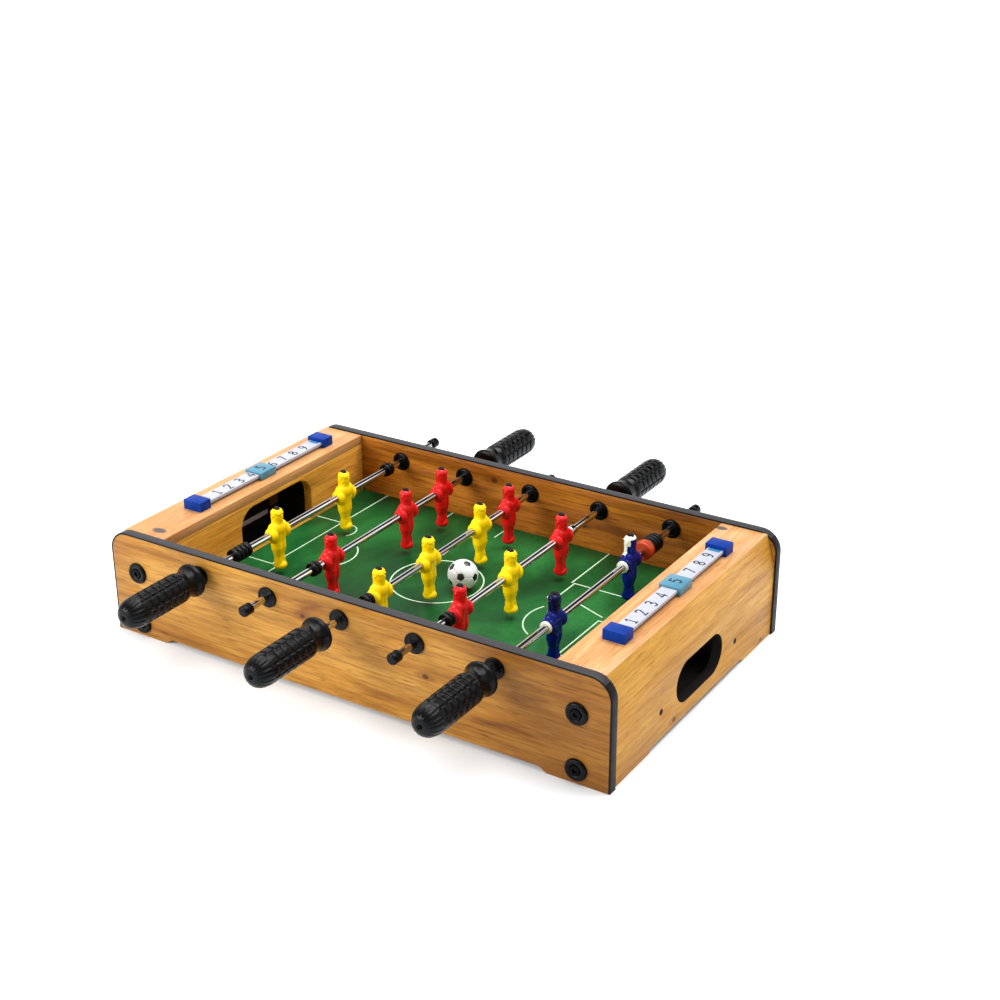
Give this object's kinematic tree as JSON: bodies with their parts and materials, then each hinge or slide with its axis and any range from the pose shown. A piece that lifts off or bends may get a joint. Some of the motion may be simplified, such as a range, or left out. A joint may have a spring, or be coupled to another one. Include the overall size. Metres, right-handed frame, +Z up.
{
  "type": "foosball table",
  "caption": "Tabletop foosball table: wooden box with a green pitch, sliding and spinning player rods, goals with ball pockets, and a bead scorer on each end.",
  "frame": {"origin": "on the surface the table stands on, under the middle of the table and its handles", "axes": "+X along the pitch towards the right goal, +Y along the rods towards the back panel, +Z up"},
  "size_m": [0.51, 0.5338, 0.108],
  "materials": {
    "panel_wood": "satin printed woodgrain",
    "end_wood": "satin printed woodgrain",
    "raw_wood": "raw sawn",
    "inside_black": "matt black paint",
    "edge_trim": "satin",
    "pitch_green": "satin print",
    "pitch_line": "satin print",
    "screw_steel": "black oxide",
    "black_plastic": "satin",
    "rod_chrome": "polished",
    "handle_rubber": "moulded satin",
    "bumper_rubber": "matte",
    "spacer_orange": "gloss",
    "player_yellow": "gloss",
    "player_red": "gloss",
    "player_blue": "gloss",
    "player_hair": "satin paint",
    "player_white": "gloss",
    "scorer_white": "gloss",
    "scorer_blue": "satin",
    "bead_blue": "satin",
    "digit_black": "print",
    "ball_white": "gloss",
    "ball_black": "gloss"
  },
  "bodies": {
    "table": {"front_panel": "panel_wood", "back_panel": "panel_wood", "edge_trims": "edge_trim", "left_goal_wall": "panel_wood", "right_goal_wall": "panel_wood", "left_top_board": "end_wood", "right_top_board": "end_wood", "left_slope_board": "end_wood", "right_slope_board": "end_wood", "left_end_wall": "end_wood", "right_end_wall": "end_wood", "pitch_board": "pitch_green", "pitch_battens": "raw_wood", "corner_blocks": "inside_black", "tray_floors": "inside_black", "tray_guides": "inside_black", "corner_screws": "screw_steel", "screw_caps": "black_plastic", "end_wall_screws": "screw_steel", "bush_sleeves": "black_plastic", "bush_nuts": "black_plastic", "scorer_rails": "scorer_white", "scorer_end_blocks": "scorer_blue"},
    "rod1_slide": {"rod1_bumpers": "bumper_rubber"},
    "rod1_spin": {"rod1_bar": "rod_chrome", "rod1_handle": "handle_rubber", "rod1_end_cap": "handle_rubber", "rod1_player1": "player_yellow", "rod1_player2": "player_yellow"},
    "rod2_slide": {"rod2_bumpers": "bumper_rubber"},
    "rod2_spin": {"rod2_bar": "rod_chrome", "rod2_handle": "handle_rubber", "rod2_end_cap": "handle_rubber", "rod2_player1": "player_red", "rod2_player2": "player_red", "rod2_player3": "player_red"},
    "rod3_slide": {"rod3_bumpers": "bumper_rubber"},
    "rod3_spin": {"rod3_bar": "rod_chrome", "rod3_handle": "handle_rubber", "rod3_end_cap": "handle_rubber", "rod3_player1": "player_yellow", "rod3_player2": "player_yellow", "rod3_player3": "player_yellow", "rod3_player4": "player_red"},
    "rod4_slide": {"rod4_bumpers": "bumper_rubber"},
    "rod4_spin": {"rod4_bar": "rod_chrome", "rod4_handle": "handle_rubber", "rod4_end_cap": "handle_rubber", "rod4_player1": "player_red", "rod4_player2": "player_yellow", "rod4_player3": "player_red"},
    "rod5_slide": {"rod5_bumpers": "bumper_rubber"},
    "rod5_spin": {"rod5_bar": "rod_chrome", "rod5_handle": "handle_rubber", "rod5_end_cap": "handle_rubber", "rod5_player1": "player_blue", "rod5_player2": "player_blue"},
    "left_bead": {"left_score_bead": "bead_blue"},
    "right_bead": {"right_score_bead": "bead_blue"},
    "ball": {"ball": "ball_white"}
  },
  "joints": [
    {"name": "rod1_push", "type": "slide", "parent": "table", "child": "rod1_slide", "axis": [0, 1, 0], "range_m": [-0.031, 0.004]},
    {"name": "rod1_turn", "type": "hinge", "parent": "rod1_slide", "child": "rod1_spin", "pos_m": [-0.151, 0, 0.08], "axis": [0, 1, 0], "continuous": true},
    {"name": "rod2_push", "type": "slide", "parent": "table", "child": "rod2_slide", "axis": [0, 1, 0], "range_m": [-0.023, 0.02]},
    {"name": "rod2_turn", "type": "hinge", "parent": "rod2_slide", "child": "rod2_spin", "pos_m": [-0.0755, 0, 0.08], "axis": [0, 1, 0], "continuous": true},
    {"name": "rod3_push", "type": "slide", "parent": "table", "child": "rod3_slide", "axis": [0, 1, 0], "range_m": [-0.02, 0.017]},
    {"name": "rod3_turn", "type": "hinge", "parent": "rod3_slide", "child": "rod3_spin", "pos_m": [0, 0, 0.08], "axis": [0, 1, 0], "continuous": true},
    {"name": "rod4_push", "type": "slide", "parent": "table", "child": "rod4_slide", "axis": [0, 1, 0], "range_m": [-0.023, 0.02]},
    {"name": "rod4_turn", "type": "hinge", "parent": "rod4_slide", "child": "rod4_spin", "pos_m": [0.0755, 0, 0.08], "axis": [0, 1, 0], "continuous": true},
    {"name": "rod5_push", "type": "slide", "parent": "table", "child": "rod5_slide", "axis": [0, 1, 0], "range_m": [-0.03, 0.013]},
    {"name": "rod5_turn", "type": "hinge", "parent": "rod5_slide", "child": "rod5_spin", "pos_m": [0.151, 0, 0.08], "axis": [0, 1, 0], "continuous": true},
    {"name": "left_bead_slide", "type": "slide", "parent": "table", "child": "left_bead", "axis": [0, 1, 0], "range_m": [-0.0718, 0.0738]},
    {"name": "right_bead_slide", "type": "slide", "parent": "table", "child": "right_bead", "axis": [0, 1, 0], "range_m": [-0.0808, 0.0648]},
    {"name": "ball_roll", "type": "slide", "parent": "table", "child": "ball", "axis": [1, 0, 0], "range_m": [-0.035, 0.02]}
  ]
}
